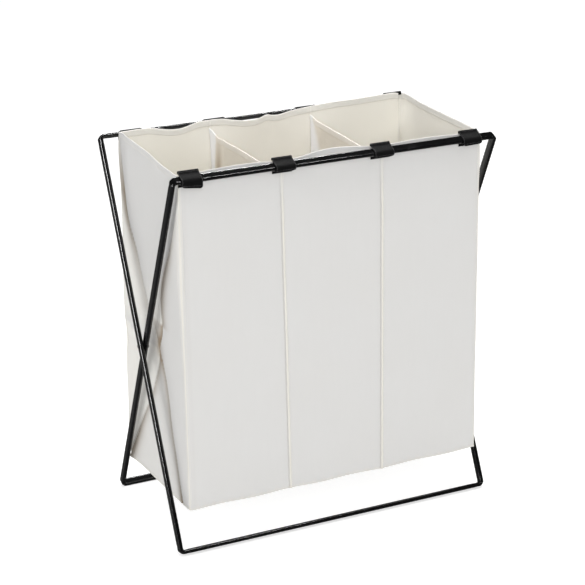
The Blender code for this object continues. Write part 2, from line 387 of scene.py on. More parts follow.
def end_tree(made, instances, finish, gout):
    """End a tree: the instances are made real and given their material."""
    real = made.nodes.new("GeometryNodeRealizeInstances")
    coat = made.nodes.new("GeometryNodeSetMaterial")
    wire(made, (instances, real.inputs["Geometry"]), (real.outputs["Geometry"], coat.inputs["Geometry"]),
         (finish, coat.inputs["Material"]), (coat.outputs["Geometry"], gout.inputs["Geometry"]))


# one blank set out on each crossing, turned round on the far side
set_tree, gin, gout, set_named = geometry_tree(
    "Set out on the crossings", [("Blank", "NodeSocketObject"), ("Finish", "NodeSocketMaterial")])
blank = set_tree.nodes.new("GeometryNodeObjectInfo")
aim = set_tree.nodes.new("GeometryNodeInputNamedAttribute")
aim.data_type = "FLOAT_VECTOR"
aim.inputs["Name"].default_value = "turn"
euler = set_tree.nodes.new("FunctionNodeEulerToRotation")
place = set_tree.nodes.new("GeometryNodeInstanceOnPoints")
wire(set_tree, (gin.outputs["Geometry"], place.inputs["Points"]),
     (gin.outputs["Blank"], blank.inputs["Object"]), (blank.outputs["Geometry"], place.inputs["Instance"]),
     (aim.outputs["Attribute"], euler.inputs[0]), (euler.outputs[0], place.inputs["Rotation"]))
end_tree(set_tree, place.outputs["Instances"], gin.outputs["Finish"], gout)


def rubbed_material(name, roughness, size, plain, rubbed, grain, depth, **settings):
    """Hard finish that lightens where it is rubbed, with a fine grain."""
    made, tree, base = new_material(name, roughness, **settings)
    worn = use_group(tree, scuff_group, Size=size)
    tree.links.new(tint(tree, worn.outputs["Rubbing"], plain, rubbed), base.inputs["Base Color"])
    bump(tree, base, worn.outputs["Grain"], grain, depth)
    return made


zinc = rubbed_material("blackened rivet steel", 0.36, 420.0, (0.035, 0.035, 0.037),
                       (0.16, 0.155, 0.15), 0.15, 0.0002, Metallic=0.85)
nylon = rubbed_material("black nylon", 0.55, 500.0, (0.012, 0.012, 0.012), (0.03, 0.03, 0.03),
                        0.2, 0.0001)

out_face = LEG_STEP / 2 + TUBE_T / 2
head, foot = out_face + GAP, -out_face - 2 * GAP - WASHER_T
dome = [(head + HEAD_H * math.cos(a), HEAD_R * math.sin(a) ** 0.9)
        for a in np.linspace(0, math.pi / 2, 9)[1:]]
tail = [(foot - TAIL_H * math.cos(a), HEAD_R * math.sin(a) ** 0.9)
        for a in np.linspace(math.pi / 2, 0, 9)[:-1]]
rivet_profile = ([(head + HEAD_H, 0)] + dome + [(head, SHANK_R), (foot, SHANK_R)] + tail
                 + [(foot - TAIL_H, 0)])


def washer_profile(middle):
    """Flat washer section with an eased outer rim."""
    low, high, c = middle - WASHER_T / 2, middle + WASHER_T / 2, WASHER_EASE
    return [(low, BORE_R), (high, BORE_R), (high, WASHER_R - c), (high - c, WASHER_R),
            (low + c, WASHER_R), (low, WASHER_R - c)]


for name, profile, finish, slot, nodes_made in (
        ("rivets", rivet_profile, zinc, "rivet_steel", ("rivet_left", "rivet_right")),
        ("spacer_washers", washer_profile(0.0), nylon, "spacer_washer",
         ("spacer_washer_left", "spacer_washer_right")),
        ("backing_washers", washer_profile(-out_face - GAP - WASHER_T / 2), zinc, "rivet_steel",
         ("backing_washer_left", "backing_washer_right"))):
    pattern = new_object("blank", turned(profile))
    spots = bpy.data.meshes.new("crossings")
    spots.from_pydata([(-LEG_SPAN / 2, 0, PIVOT_Z), (LEG_SPAN / 2, 0, PIVOT_Z)], [], [])
    spots.attributes.new("turn", "FLOAT_VECTOR", "POINT").data.foreach_set(
        "vector", [0, 0, math.pi, 0, 0, 0])
    spots = new_object("crossings", spots)
    piece = bake(spots, set_tree, set_named, {"Blank": pattern, "Finish": finish}, name)
    bpy.data.objects.remove(pattern, do_unlink=True)
    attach(piece, "front_rail_frame")
    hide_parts(*nodes_made)


# ---- Bag shell ---------------------------------------------------------------------------
# One band of off-white coated polyester goes round front, right, back and left, sewn to
# itself at a corner. Its top edge is turned in and stitched to a hem. Tucks run down the
# front and back where the dividers are sewn in, and each side is creased to an X so that it
# folds inward when the frame closes.

CLOTH = 0.0011
HALF_X, FRONT_Y = 0.3000, -0.1566
BACK_TOP_Y, BACK_LOW_Y = 0.1526, 0.1392
CORNER_R = 0.0050
NOMINAL_H = 0.6400
HEM_DROP, HEM_EXTRA = 0.0108, 0.0007            # depth of the turned hem, thickness it adds
CROSS_Z = 0.356                                 # height where the creases of a side cross

# rim height above the floor and how far the rim is drawn inward, round the bag (mm)
front_rim = np.array([(-300, 719, 0), (-262, 720.5, 0.5), (-225, 722.0, 2), (-183, 722.5, 3),
                      (-140, 721.5, 1.5), (-118, 720, 0.5), (-92, 720, 0.5), (-67, 721, 2),
                      (-42, 724.5, 5), (-11, 726.8, 8), (16, 726.5, 8), (50, 724, 5), (81, 721.5, 2),
                      (95, 721, 0.5), (118, 721.5, 1), (150, 722.5, 2), (195, 723, 2.5),
                      (235, 722, 1.5), (262, 721, 0.5), (300, 720, 0)])
back_rim = np.array([(-300, 722.7, 2), (-255, 722.8, 0.5), (-229, 722.0, 2), (-212, 719.3, 5),
                     (-187, 715.4, 7), (-172, 715.2, 7), (-151, 718.8, 5), (-136, 721.7, 2),
                     (-110, 722.4, 0.5), (-79, 720.8, 1), (-59, 716.8, 4), (-33, 713.5, 7),
                     (-12, 714.5, 8), (0, 718.0, 7), (8, 719.6, 6), (20, 717.0, 6), (33, 716.3, 5),
                     (57, 719.4, 2), (80, 721.3, 0.5), (110, 723.5, 0.5), (151, 726, 2),
                     (187, 726.3, 3), (209, 726.5, 3), (231, 727.2, 2), (264, 727.5, 0.5),
                     (292, 727.0, 1), (300, 724.5, 2)])
left_rim = np.array([(-157, 719, 0), (-140, 718.3, 0.5), (-111, 718.3, 1), (-64, 719.5, 2),
                     (-23, 724.2, 2), (38, 726.7, 2), (100, 728, 1.5), (130, 727, 0.5), (153, 722.7, 0)])
right_rim = np.array([(-157, 721, 0), (-62, 723.5, 1), (34, 726, 2), (100, 727, 1), (153, 724.5, -4)])
# creases of the X on a side: (height, y) mm from the rim down to the hem of the bottom
left_creases = {"back": [(720, 150), (692, 142), (646, 132), (623, 126), (590, 114), (561, 99),
                         (527, 73), (487, 51), (440, 30), (354, -30), (277, 1), (168, 77), (67, 147)],
                "front": [(720, -155), (660, -150), (615, -130), (459, -45), (391, -45), (354, -30),
                          (331, -43), (200, -86), (88, -123), (60, -130)]}
right_creases = {"back": [(720, 153), (650, 150), (610, 132), (530, 72), (440, 30), (362, 0),
                          (280, 28), (170, 88), (80, 145)],
                 "front": [(720, -155), (655, -150), (600, -125), (470, -62), (400, -25), (362, 0),
                           (320, -24), (210, -80), (88, -140), (60, -150)]}
front_seams = (((722, -105.8), (400, -101.5), (84, -97.3)), ((722, 94.8), (400, 95.8), (84, 95.1)))
back_seams = (((722, -109.0), (84, -100.0)), ((722, 103.0), (84, 98.0)))


def along(table, at, column=1):
    """Smooth read of a table's column by its first column, both in mm, result in metres."""
    table = np.array(table, float)
    table = table[np.argsort(table[:, 0])]
    x, y = table[:, 0] / 1000, table[:, column] / 1000
    slope = np.gradient(y, x)
    k = np.clip(np.searchsorted(x, at) - 1, 0, len(x) - 2)
    h = x[k + 1] - x[k]
    t = np.clip((at - x[k]) / h, 0, 1)
    return ((2 * t**3 - 3 * t**2 + 1) * y[k] + (t**3 - 2 * t**2 + t) * h * slope[k]
            + (3 * t**2 - 2 * t**3) * y[k + 1] + (t**3 - t**2) * h * slope[k + 1])


def fade(value, low, high):
    """Smooth 0 to 1 between low and high."""
    t = np.clip((value - low) / (high - low), 0, 1)
    return t * t * (3 - 2 * t)


def hump(value, middle, width):
    """Smooth bump, 1 at the middle and 0.37 a width away."""
    return np.exp(-((value - middle) / width) ** 2)


def back_wall(z):
    """Place of the back at height z; it leans in towards its foot."""
    return BACK_LOW_Y + (BACK_TOP_Y - BACK_LOW_Y) * (z - 0.0845) / 0.638


def foot_height(x, share):
    """Height of the lower edge, share from front to back; lowest at the back left corner."""
    return 0.0835 + 0.0025 * (x + 0.3) / 0.6 - 0.0100 * share * (0.5 - x / 0.6)


def drift(a, b, seed, size, waves=7):
    """Gentle unevenness over a surface: a few long sine waves, about -1 to 1."""
    pick = np.random.default_rng(seed)
    total = np.zeros(np.broadcast(a, b).shape)
    for _ in range(waves):
        way, phase = pick.uniform(0, math.pi), pick.uniform(0, 2 * math.pi)
        pitch = size * pick.uniform(0.6, 1.6)
        total += np.sin(2 * math.pi * (a * math.cos(way) + b * math.sin(way)) / pitch + phase)
    return total / waves * 1.8


def panel_bulge(x, z, seams, top):
    """How far a front or back panel stands out at x and height z, with the marks of its tucks:
    the painted shade of the sewn groove and the painted cream highlight on the ridge beside it."""
    low_x, high_x = np.full_like(z, -HALF_X), np.full_like(z, HALF_X)
    lines = [low_x] + [along(s, z) for s in seams] + [high_x]
    out, groove, painted_highlight = np.zeros_like(z), np.zeros_like(z), np.zeros_like(z)
    sag = fade(top - z, 0.010, 0.075) * (0.35 + 0.65 * fade(z, 0.085, 0.16))
    for a, b in zip(lines, lines[1:]):
        t = np.clip((x - a) / (b - a), 0, 1)
        out += 0.0021 * (4 * t * (1 - t)) ** 0.55 * sag
    for line in lines[1:-1]:
        d = x - line
        hold = 0.25 + 0.75 * fade(top - z, 0.012, 0.11)
        pucker = 0.75 + 0.25 * np.sin(2 * math.pi * z / 0.0135 + 3 * np.sin(z * 31))
        out += hold * (-0.0016 * hump(d, -0.0012, 0.0011) + 0.0019 * pucker * hump(d, 0.0022, 0.0018))
        out += 0.0004 * np.sin(2 * math.pi * z / 0.021 + 5 * np.sin(z * 17)) * np.exp(-np.abs(d) / 0.012)
        # painted shade in the groove, painted cream highlight on the ridge beside it
        groove += (0.10 + 0.14 * hold) * hump(d, -0.0012, 0.0009) * (0.85 + 0.15 * pucker)
        painted_highlight += (0.3 + 0.7 * hold) * hump(d, 0.0017, 0.0012)
    return out, groove, painted_highlight


def side_bulge(y, z, creases, depth, front, back, cuts):
    """How far a side stands out: pushed in along the creases of its X. Also the painted brown shade along the
    creases, and the painted light on some of its fields.
    """
    yb, yf = along(creases["back"], z), along(creases["front"], z)
    g = np.where(z > CROSS_Z, 1 - (z - CROSS_Z) / 0.290, 1 - (CROSS_Z - z) / 0.275)
    g = np.clip(g, 0, 1) ** 0.85
    into_back = np.clip((back - y) / np.maximum(back - yb, 1e-4), 0, 1)
    into_front = np.clip((y - front) / np.maximum(yf - front, 1e-4), 0, 1)
    inside = np.minimum(np.where(y > yb, into_back, 1), np.where(y < yf, into_front, 1))
    out = -depth * g * inside
    # the four fields between the creases are slack and belly out a little
    out += 0.0022 * np.sin(math.pi * inside) * (inside < 1) * fade(z, 0.09, 0.16)
    fold_shade = np.zeros_like(z)
    for line, reach, above in ((yb, cuts[0], 1), (yf, cuts[1], -1)):
        heights = [r[0] / 1000 for r in reach]
        cut, wide, dark = (np.interp(z, heights, [r[n] for r in reach]) for n in (1, 2, 3))
        out -= cut / 1000 * np.exp(-((y - line) * 1000 / wide) ** 2)
        out += 0.35 * cut / 1000 * np.exp(-((y - line) * 1000 / (wide * 2.6)) ** 2)
        # the brown shade is sharp on one side of the crease and fades out on the other
        away = (y - line) * 1000 * np.where(z > CROSS_Z + 0.05, above, -above)
        soft = np.where(away > 0, wide * 5.5, wide * 0.6)
        fold_shade += dark * np.exp(-np.abs(away / soft) ** np.where(away > 0, 1.5, 2.0))
    # painted light: some fields are painted lighter cream where light on them looks warmer, and to lift the
    # grey shade of the pit and of the strip by the front corner; how much, at each place
    painted_light = fade(y, yb - 0.002, yb + 0.004) * fade(z, CROSS_Z - 0.02, CROSS_Z + 0.05)
    for field in (0.35 * fade(y, yf, yf + 0.004) * fade(yb, y, y + 0.004) * (z < CROSS_Z),
                  fade(y, yf, yf + 0.004) * (y < yb) * hump(z, 0.395, 0.065) * (z > CROSS_Z),
                  0.9 * fade(y, yb, yb + 0.004) * (z <= CROSS_Z),
                  0.3 * (y < yf) * hump(z, 0.600, 0.100)):
        painted_light = np.maximum(painted_light, field)
    return out, np.clip(fold_shade, 0, 1), painted_light


def spaced(start, end, step, fine):
    """Positions from start to end, about step apart, closer near the fine places."""
    spots = [start]
    while spots[-1] < end - 1e-9:
        gap = min([step] + [max(0.0009, abs(spots[-1] - f) * 0.45) if abs(spots[-1] - f) < 0.014
                            else step for f in fine])
        spots.append(min(end, spots[-1] + gap))
    return np.array(spots)


# stations round the bag, closer at seams: wall, place along it (x, or the share of its
# depth on a side) and the way it faces
run_x = HALF_X - CORNER_R
stations = []
for spot in spaced(-run_x, run_x, 0.0055, (-0.1055, -0.1015, -0.0975, 0.0945, 0.0965)):
    stations.append(("front", spot, -math.pi / 2))
for angle in np.linspace(-math.pi / 2, 0, 9)[1:-1]:
    stations.append(("front right", 0, angle))
for share in np.linspace(0, 1, 76):
    stations.append(("right", share, 0.0))
for angle in np.linspace(0, math.pi / 2, 9)[1:-1]:
    stations.append(("back right", 0, angle))
for spot in spaced(-run_x, run_x, 0.0055, (-0.1085, -0.1045, -0.1005, 0.0985, 0.1025))[::-1]:
    stations.append(("back", spot, math.pi / 2))
for angle in np.linspace(math.pi / 2, math.pi, 9)[1:-1]:
    stations.append(("back left", 0, angle))
for share in np.linspace(1, 0, 110):
    stations.append(("left", share, math.pi))
for angle in np.linspace(math.pi, 1.5 * math.pi, 9)[1:-1]:
    stations.append(("front left", 0, angle))

drops = np.concatenate([[0, 0.0008, 0.0024, 0.0045, 0.0070, 0.0090, 0.0100, 0.0106, 0.0112, 0.0120,
                         0.0135, 0.0160, 0.0200, 0.0250], np.arange(0.031, 0.610, 0.0068),
                        [0.6160, 0.6230, 0.6290, 0.6335, 0.6365, 0.6385, NOMINAL_H]])


# sewn-in creases, back then front: height, depth, half width (mm) and the strength of the painted brown shade
left_cuts = ([(60, 4.0, 3.0, 1.0), (90, 4.0, 3.6, 1.0), (150, 3.5, 3.0, 0.9), (200, 3.0, 2.4, 0.65),
              (277, 2.5, 2.4, 0.6), (354, 2.0, 3.0, 0.6), (400, 1.5, 3.0, 0.35), (446, 2.0, 3.0, 0.20),
              (500, 2.5, 3.0, 0.35), (539, 3.0, 3.4, 0.60), (580, 3.0, 4.2, 0.80), (618, 3.0, 5.0, 0.85),
              (650, 2.0, 5.0, 0.55), (690, 1.0, 5.0, 0.25), (720, 0.0, 4.0, 0.05)],
             [(60, 4.0, 2.6, 1.0), (88, 4.0, 2.4, 0.9), (110, 2.5, 2.0, 0.65), (200, 2.0, 2.0, 0.60),
              (331, 2.5, 2.4, 0.65), (354, 3.0, 3.4, 0.8), (391, 3.0, 3.4, 0.9), (430, 3.5, 3.4, 0.85),
              (459, 3.5, 4.0, 0.9), (500, 3.5, 4.4, 0.95), (560, 3.0, 3.6, 0.8), (610, 2.0, 3.0, 0.35),
              (660, 0.0, 3.0, 0.0)])
right_cuts = ([(60, 3, 3, 0.6), (200, 3, 2.6, 0.5), (362, 3, 3, 0.6), (600, 3, 3.6, 0.6), (660, 0, 4, 0)],
              [(60, 3, 3, 0.7), (200, 2.5, 2.6, 0.5), (362, 3, 3, 0.6), (600, 3, 3.6, 0.5), (660, 0, 4, 0)])


def shell_point(wall, spot, angle, z, top):
    """Points down one station: x, y for the heights z, then painted shade, painted highlight and painted
    light.
    """
    back = back_wall(z)
    ny, nx = math.sin(angle), math.cos(angle)
    if wall == "front":
        x, y = np.full_like(z, spot), np.full_like(z, FRONT_Y)
    elif wall == "back":
        x, y = np.full_like(z, spot), back
    else:
        side = 1 if "right" in wall else -1
        low, high = FRONT_Y + CORNER_R, back - CORNER_R
        if wall in ("left", "right"):
            x, y = np.full_like(z, side * HALF_X), low + (high - low) * spot
        else:
            x = np.full_like(z, side * (HALF_X - CORNER_R)) + CORNER_R * nx
            y = (low if "front" in wall else high) + CORNER_R * ny
    out, fold_shade, painted_highlight, painted_light = (np.zeros_like(z) for _ in range(4))
    if abs(ny) > 1e-6:
        bulge, groove, edge = panel_bulge(x, z, front_seams if ny < 0 else back_seams, top)
        out += abs(ny) * (bulge + 0.00055 * drift(x, z, 4 + (ny > 0), 0.16))
        # painted shade in each tuck's groove and a painted cream highlight on its ridge
        fold_shade += groove * (wall in ("front", "back"))
        painted_highlight += edge * (wall in ("front", "back"))
        rim = front_rim if ny < 0 else back_rim
        out -= abs(ny) * along(rim, x, 2) * np.exp(-(((top - z) / 0.060) ** 1.6))
    if abs(nx) > 1e-6:
        if nx < 0:
            bulge, mark, painted_light = side_bulge(y, z, left_creases, 0.0040, FRONT_Y, BACK_TOP_Y, left_cuts)
            bulge += 0.0050 * hump(z, 0.520, 0.130) * hump(y, FRONT_Y, 0.030)
            bulge += (-0.0050 * hump(z, 0.325, 0.035) + 0.0040 * hump(z, 0.085, 0.100)) * hump(y, 0.15, 0.040)
        else:
            bulge, mark, painted_light = side_bulge(y, z, right_creases, 0.0080, FRONT_Y, BACK_TOP_Y, right_cuts)
            bulge += 0.0060 * hump(z, 0.722, 0.05) * hump(y, 0.153, 0.06)
        out += abs(nx) * (bulge + 0.0006 * drift(y, z, 8 + (nx > 0), 0.14))
        out -= abs(nx) * along(left_rim if nx < 0 else right_rim, y, 2) * np.exp(-((top - z) / 0.05) ** 2)
        fold_shade += abs(nx) * mark
    if abs(nx) > 1e-6 and abs(ny) > 1e-6:       # the stitched fin down each corner
        fin = math.exp(-((abs(abs(nx) - abs(ny))) / 0.30) ** 2)
        out += 0.0012 * fin * (0.4 + 0.6 * fade(top - z, 0.01, 0.06))
        # painted cream highlight along the fin
        painted_highlight += 0.8 * fin
    if wall == "front" or (wall == "back" and spot):    # a stitched line beside each corner
        beside = fade(top - z, 0.012, 0.03)
        out += 0.0003 * hump(abs(spot), HALF_X - 0.0080, 0.0016)
        # painted shade and painted highlight beside the stitched line
        fold_shade += 0.04 * hump(abs(spot), HALF_X - 0.0105, 0.0010) * beside
        painted_highlight += 0.35 * hump(abs(spot), HALF_X - 0.0085, 0.0010) * beside
    # painted shade along the hem's lower edge and just above the foot, painted highlight on the foot
    fold_shade += 0.05 * hump(top - z, 0.0106, 0.0006)
    fold_shade += 0.08 * hump(z, z.min() + 0.0040, 0.0008)
    painted_highlight += 0.5 * hump(z, z.min(), 0.0025)
    out += 0.0007 * hump(z, z.min() + 0.0012, 0.0016)
    # the strap at the back left draws that corner in along the rail
    x = x + 0.0076 * fade(y, 0.085, 0.150) * fade(z, 0.34, 0.62) * fade(-x, 0.20, 0.295)
    return x + out * nx, y + out * ny, np.clip(fold_shade, 0, 1), np.clip(painted_highlight, 0, 1), painted_light


corner_tops = {"front right": 0.721, "back right": 0.7245, "back left": 0.7227, "front left": 0.719}
mid, fold_shade, painted_highlight, painted_light = [], [], [], []
for wall, spot, angle in stations:
    if wall == "front":
        top = along(front_rim, spot)
    elif wall == "back":
        top = along(back_rim, spot)
    elif wall in ("left", "right"):
        y = FRONT_Y + CORNER_R + (BACK_TOP_Y - FRONT_Y - 2 * CORNER_R) * spot
        top = along(left_rim if wall == "left" else right_rim, y)
    else:
        top = corner_tops[wall]
    share = (spot if wall in ("left", "right") else 0.0 if "front" in wall else 1.0)
    foot_x = spot if wall in ("front", "back") else (HALF_X if "right" in wall else -HALF_X)
    faced = 1 - abs(math.cos(angle))             # 1 on the front and back, 0 on the sides
    tucks = hump(foot_x, -0.0973, 0.005) + hump(foot_x, 0.0951, 0.005)
    low = foot_height(foot_x, share)
    low += (0.0010 * math.sin(foot_x * 47) - 0.0012 * tucks) * faced
    z = top - drops * (top - low) / NOMINAL_H
    x, y, mark, edge, painted_light_here = shell_point(wall, spot, angle, z, top)
    mid.append(np.stack([x, y, z], 1))
    fold_shade.append(mark)
    painted_highlight.append(edge)
    painted_light.append(painted_light_here)
mid, fold_shade, painted_highlight, painted_light = np.array(mid), np.array(fold_shade), np.array(painted_highlight), np.array(painted_light)
columns, rows = mid.shape[:2]
down = np.gradient(mid, axis=1)
sideways = (np.roll(mid, -1, 0) - np.roll(mid, 1, 0)) / 2
normal = np.cross(down, sideways)
normal /= np.linalg.norm(normal, axis=2, keepdims=True)
if np.mean(normal[:90, :, 1]) > 0:               # the front faces -Y
    normal = -normal


def closed_band(mid, normal, drops, hem_drop, hem_extra):
    """Outer face, turned rim and inner face with its doubled hem, as one closed skin."""
    columns, rows = mid.shape[:2]
    inner = np.where(drops <= hem_drop, CLOTH / 2 + hem_extra, CLOTH / 2)
    outer = np.where(drops <= hem_drop, CLOTH / 2 + 0.00015, CLOTH / 2)
    outer_points = mid + normal * outer[None, :, None]
    inner_points = mid - normal * inner[None, :, None]
    crown = (outer_points[:, :1] + inner_points[:, :1]) / 2 + np.array([0, 0, 0.0009])
    loop = np.concatenate([outer_points[:, ::-1], crown, inner_points], 1)
    drop = np.concatenate([drops[::-1], [-0.0009], -drops - 0.002])
    return loop, drop


def loft_uv(u, drop):
    """Cloth UV of each face corner: distance along the sheet and distance down it."""
    i, k = np.meshgrid(np.arange(len(u) - 1), np.arange(len(drop)), indexing="ij")
    k2 = (k + 1) % len(drop)
    return np.stack([np.stack([u[a], drop[b]], -1)
                     for a, b in ((i, k), (i, k2), (i + 1, k2), (i + 1, k))], 2)


loop, drop = closed_band(mid, normal, drops, HEM_DROP, HEM_EXTRA)
lengths = np.linalg.norm(np.diff(np.concatenate([mid[:, 40], mid[:1, 40]]), axis=0), axis=1)
shell_uv = loft_uv(np.concatenate([[0], np.cumsum(lengths)]), drop)
# the outside of the cloth is turned in at the hem, so the lining starts under it
inside = np.concatenate([np.zeros(rows), [0.2], np.where(drops < HEM_DROP, 0.55, 1.0)])
inside = np.tile(inside, (columns, 1))
# painted light: in those side fields the outer face takes the lighter lining colour
inside[:, :rows] = 0.55 * painted_light[:, ::-1]
inside[["right" in station[0] for station in stations], rows + 1:] *= 0.80   # painted shade: the right wall's lining is darker and greyer
# the fold mark is painted brown shade in creases and seams; the rolled rim takes 0.22 more as painted shade,
# the inner face half of it
marks = (("inside", inside),
         ("fold_shade", np.concatenate([fold_shade[:, ::-1], fold_shade[:, :1] + 0.22, fold_shade * 0.5], 1)),
         ("painted_highlight", np.concatenate([painted_highlight[:, ::-1], painted_highlight[:, :1] * 0, painted_highlight * 0], 1)))


def calc(tree, operation, *values):
    """Math node on numbers or sockets; returns its result socket."""
    node = tree.nodes.new("ShaderNodeMath")
    node.operation = operation
    for slot, value in zip(node.inputs, values):
        if isinstance(value, (int, float)):
            slot.default_value = value
        else:
            tree.links.new(value, slot)
    return node.outputs[0]


# plain weave seen close up: warp over weft on a checker, on the cloth's own lay in metres
weave_group, win, wout = new_group(
    "Plain weave", [("UV", "NodeSocketVector", None), ("Threads", "NodeSocketFloat", 1400.0),
                    ("Slub", "NodeSocketFloat", 90.0)],
    [("Height", "NodeSocketFloat"), ("Gaps", "NodeSocketFloat"), ("Unevenness", "NodeSocketFloat")])
split = weave_group.nodes.new("ShaderNodeSeparateXYZ")
weave_group.links.new(win.outputs["UV"], split.inputs[0])
across = calc(weave_group, "MULTIPLY", split.outputs["X"], win.outputs["Threads"])
upward = calc(weave_group, "MULTIPLY", split.outputs["Y"], win.outputs["Threads"])
warp, weft = (calc(weave_group, "ABSOLUTE", calc(weave_group, "SINE", calc(
    weave_group, "MULTIPLY", threads, math.pi))) for threads in (across, upward))
squares = calc(weave_group, "ADD", *(calc(weave_group, "FLOOR", threads) for threads in (across, upward)))
checker = calc(weave_group, "ABSOLUTE", calc(weave_group, "MODULO", squares, 2.0))
warp_over = calc(weave_group, "MULTIPLY", warp, calc(weave_group, "MULTIPLY_ADD", checker, 0.5, 0.5))
weft_over = calc(weave_group, "MULTIPLY", weft, calc(weave_group, "MULTIPLY_ADD", checker, -0.5, 1.0))
slub = noise(weave_group, win.outputs["UV"], win.outputs["Slub"], 3.0, (1.0, 0.12, 1.0))
wire(weave_group, (calc(weave_group, "ADD", warp_over, weft_over), wout.inputs["Height"]),
     (calc(weave_group, "MULTIPLY", warp, weft), wout.inputs["Gaps"]), (slub, wout.inputs["Unevenness"]))


def weave_node(tree, threads, slub_size):
    """Weave group read on the piece's own Cloth UV map."""
    node = tree.nodes.new("ShaderNodeGroup")
    node.node_tree = weave_group
    lay = tree.nodes.new("ShaderNodeUVMap")
    lay.uv_map = "Cloth"
    tree.links.new(lay.outputs["UV"], node.inputs["UV"])
    node.inputs["Threads"].default_value = threads
    node.inputs["Slub"].default_value = slub_size
    return node


def painted(tree, mark):
    """Value of a mark kept on the points of the mesh."""
    node = tree.nodes.new("ShaderNodeAttribute")
    node.attribute_name = mark
    return node.outputs["Fac"]


def cloth_material(name, outside, lining, crease, highlight_colour):
    """Coated polyester: outside, a warmer lining painted lighter as painted light, painted brown shade in
    folds and painted highlights on ridges and edges.
    """
    made, tree, base = new_material(name, 0.82, Sheen_Weight=0.12, Sheen_Roughness=0.5,
                                    Specular_IOR_Level=0.25)
    weave = weave_node(tree, 1300.0, 120.0)
    where = tree.nodes.new("ShaderNodeTexCoord")
    colour = tint(tree, painted(tree, "inside"), outside, lining)
    blotch = spread(tree, noise(tree, where.outputs["Object"], 7.0, 3.0), 0.3, 0.7, 0.0, 0.05)
    colour = tint(tree, blotch, colour, (0.50, 0.45, 0.38))
    slub = spread(tree, weave.outputs["Unevenness"], 0.25, 0.75, 0.0, 0.03)
    colour = tint(tree, slub, colour, (0.78, 0.77, 0.74))
    # painted shade: a little darker and browner in the gaps between threads
    gaps = spread(tree, weave.outputs["Gaps"], 0.0, 0.5, 0.05, 0.0)
    colour = tint(tree, gaps, colour, (0.45, 0.40, 0.33))
    # painted highlight, then painted brown shade
    colour = tint(tree, painted(tree, "painted_highlight"), colour, highlight_colour)
    shade = calc(tree, "MULTIPLY", painted(tree, "fold_shade"), 0.92)
    colour = tint(tree, shade, colour, crease)
    tree.links.new(colour, base.inputs["Base Color"])
    wrinkle = noise(tree, where.outputs["Object"], 26.0, 4.0)
    height = calc(tree, "MULTIPLY_ADD", weave.outputs["Height"], 0.10,
                  calc(tree, "MULTIPLY", wrinkle, 1.0))
    bump(tree, base, height, 0.35, 0.0009)
    return made


# the lining is cream from its coating, and is painted far lighter than the outside to make up for the shade
# inside the bag (painted light); the third colour is painted crease shade, the fourth painted highlight
cloth = cloth_material("off-white coated polyester", (0.592, 0.590, 0.583), (0.900, 0.880, 0.815),
                       (0.21, 0.142, 0.075), (0.69, 0.665, 0.60))
shell = add_piece("bag_shell", loop.reshape(-1, 3), loft_faces(*loop.shape[:2]), cloth,
                  uv=shell_uv, marks=marks)

bag_soft = [shell]                  # the soft pieces of the bag, put on its body below
bag_nodes = {"bag_shell": ("bag_front_panel", "bag_back_panel", "bag_left_panel", "bag_right_panel")}


# ---- Dividers ----------------------------------------------------------------------------
# Two sheets of the same cloth, hemmed at the top and sewn into the front and back tucks.
# They are cut a little long, so they belly to the right and turn sharply at the back seam.

DIVIDER_HEM, DIVIDER_FOOT = 0.0099, 0.0880
DIVIDER_FRONT = -0.1548                         # where the front edge is sewn in
DIVIDER_ROWS = np.concatenate([[0, 0.0008, 0.0024, 0.005, 0.0075, 0.0090, 0.0096, 0.0102, 0.0112, 0.014],
                               np.arange(0.022, 0.59, 0.011)])
# the dividers' copy of the cloth is painted browner and darker as painted shade, with a white painted
# highlight colour and a brown painted crease shade
shaded_divider_cloth = cloth_material("divider cloth", (0.78, 0.735, 0.66), (0.83, 0.78, 0.70),
                               (0.34, 0.25, 0.16), (0.93, 0.93, 0.95))


def divider_line(name, z):
    """Centre line of a divider at height z in metres: (y, x) in mm, straighter lower down."""
    low = float(fade(0.71 - z, 0.0, 0.09))
    if name == "divider_one":
        table = [(-155, -104.5), (-130, -101.5), (-100, -99.5), (-30, -96), (60, -94), (105, -94.5),
                 (122, -96.5 + 2 * low), (130, -99.5 + 1.5 * low), (138, -104 + 1.5 * low),
                 (150, -109.5 + 1.5 * low)]
    else:
        table = [(-155, 95.5), (-130, 97.5), (-100, 100), (-30, 105), (60, 108 + 2 * low),
                 (105, 109.5 + 3 * low), (122, 109 + 3 * low), (130, 108 + 2.5 * low),
                 (138, 106 + 1.5 * low), (150, 102.8)]
    shaped = float(fade(z, 0.1, 0.6))
    return [(y, x * (0.55 + 0.45 * shaped) + math.copysign(98, x) * 0.45 * (1 - shaped))
            for y, x in table]


